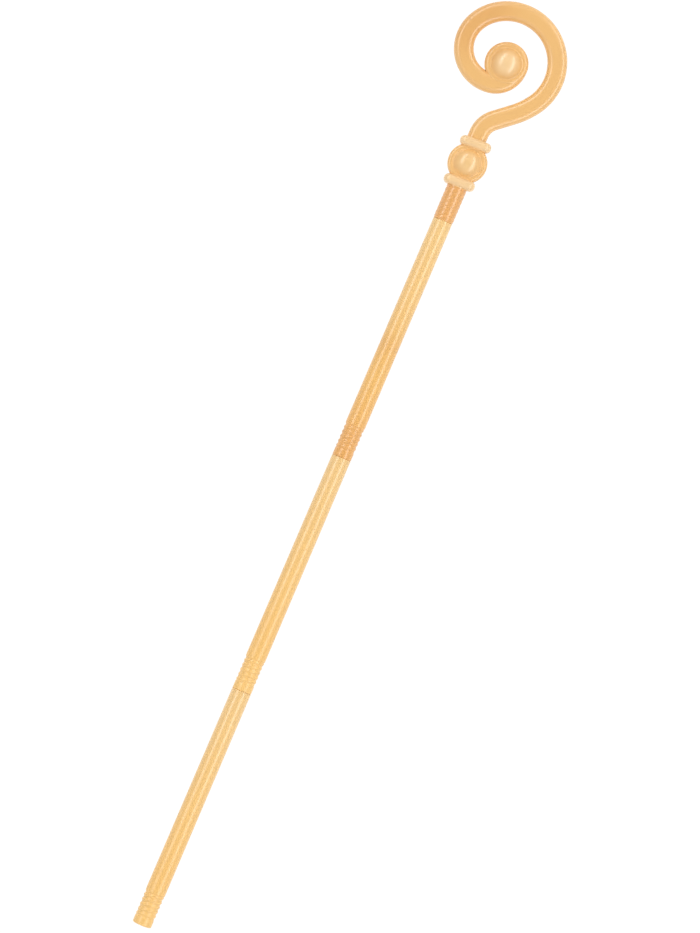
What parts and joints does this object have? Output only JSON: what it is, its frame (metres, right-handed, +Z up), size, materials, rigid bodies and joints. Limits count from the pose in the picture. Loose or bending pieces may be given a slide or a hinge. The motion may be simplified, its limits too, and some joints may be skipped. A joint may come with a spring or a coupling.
{
  "type": "bishop crosier",
  "caption": "Gold plastic costume crosier lying down: spiral crook with a domed eye, ball knop between collars, and a shaft of screwed tube sections.",
  "frame": {"origin": "on the floor under the middle of the lying staff's outline", "axes": "+Y along the staff from the foot to the crook, +X to the right of the crook's face, +Z up from the floor through the crook's flat side"},
  "size_m": [0.2198, 1.8596, 0.0597],
  "materials": {
    "head_plastic": "satin gold plastic, softly pearly",
    "shaft_plastic": "satin gold plastic, softly pearly"
  },
  "bodies": {
    "root": {"crook_head": "head_plastic", "upper_shaft": "shaft_plastic", "middle_shaft": "shaft_plastic", "lower_shaft": "shaft_plastic"}
  },
  "joints": []
}
